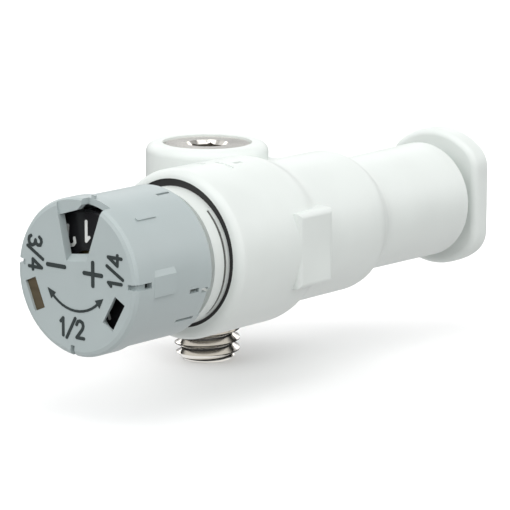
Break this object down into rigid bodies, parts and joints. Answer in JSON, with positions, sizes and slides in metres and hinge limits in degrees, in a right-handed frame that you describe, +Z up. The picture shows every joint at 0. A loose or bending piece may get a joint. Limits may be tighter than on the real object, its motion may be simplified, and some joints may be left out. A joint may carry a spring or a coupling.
{
  "type": "flow control valve",
  "caption": "Elbow flow control valve: turning dial knob with turn indicator, hollow swivel stud and push-in tube fitting",
  "frame": {"origin": "stud axis at the sealing face under the gasket", "axes": "+Z up along the stud away from the port, +X along the valve axis towards the tube port, knob at -X"},
  "size_m": [0.0429, 0.0195, 0.0174],
  "materials": {
    "nickel": "bright nickel plating",
    "spring_steel": "plain",
    "gasket_rubber": "matt",
    "seal_rubber": "matt",
    "white_casing": "fine satin",
    "white_sleeve": "fine satin",
    "dark_band": "matt",
    "driver_brass": "machined",
    "detent_rubber": "matt",
    "dial_black": "satin",
    "print_white": "matt print",
    "knob_grey": "satin",
    "clip_brass": "plain",
    "print_dark": "matt print",
    "needle_brass": "machined",
    "guide_brass": "machined",
    "inner_plastic": "plain",
    "chuck_steel": "plain",
    "button_white": "fine satin"
  },
  "bodies": {
    "stud": {"banjo_stud": "nickel", "port_gasket": "gasket_rubber", "stud_clip": "spring_steel", "stud_orings": "seal_rubber"},
    "housing": {"valve_body": "white_casing", "lock_sleeve": "white_sleeve", "lock_bands": "dark_band", "dust_ring": "seal_rubber", "driver_snap_ring": "spring_steel", "needle_guide": "guide_brass", "guide_oring": "seal_rubber", "throttle_seat": "guide_brass", "check_seal": "seal_rubber", "tube_seal": "seal_rubber", "chuck_guide": "inner_plastic", "tube_chuck": "chuck_steel", "fitting_collar": "inner_plastic"},
    "driver": {"needle_driver": "driver_brass", "knob_detent_ring": "detent_rubber"},
    "knob": {"knob": "knob_grey", "knob_clip": "clip_brass", "knob_marks": "print_dark"},
    "needle": {"needle": "needle_brass", "needle_oring": "seal_rubber"},
    "dial": {"indicator_dial": "dial_black", "dial_numerals": "print_white"},
    "button": {"release_button": "button_white"}
  },
  "joints": [
    {"name": "swivel", "type": "hinge", "parent": "stud", "child": "housing", "pos_m": [0, 0, 0], "axis": [0, 0, 1], "continuous": true},
    {"name": "knob_turn", "type": "hinge", "parent": "housing", "child": "driver", "pos_m": [0, -0.0086, 0.0079], "axis": [-1, 0, 0], "range_deg": [-360, 2520]},
    {"name": "knob_lock", "type": "slide", "parent": "driver", "child": "knob", "axis": [1, 0, 0], "range_m": [0, 0.0005]},
    {"name": "needle_travel", "type": "slide", "parent": "driver", "child": "needle", "axis": [-1, 0, 0], "range_m": [-0.00035, 0.00245]},
    {"name": "dial_turn", "type": "hinge", "parent": "housing", "child": "dial", "pos_m": [0, -0.0086, 0.0081], "axis": [-1, 0, 0], "range_deg": [-324, 2268]},
    {"name": "button_press", "type": "slide", "parent": "housing", "child": "button", "axis": [-1, 0, 0], "range_m": [0, 0.0008], "stiffness_N_per_m": 400}
  ],
  "couplings": [
    {"joint": "needle_travel", "follows": "knob_turn", "m_per_rad": 0.000055704},
    {"joint": "dial_turn", "follows": "knob_turn", "ratio": 0.9}
  ]
}
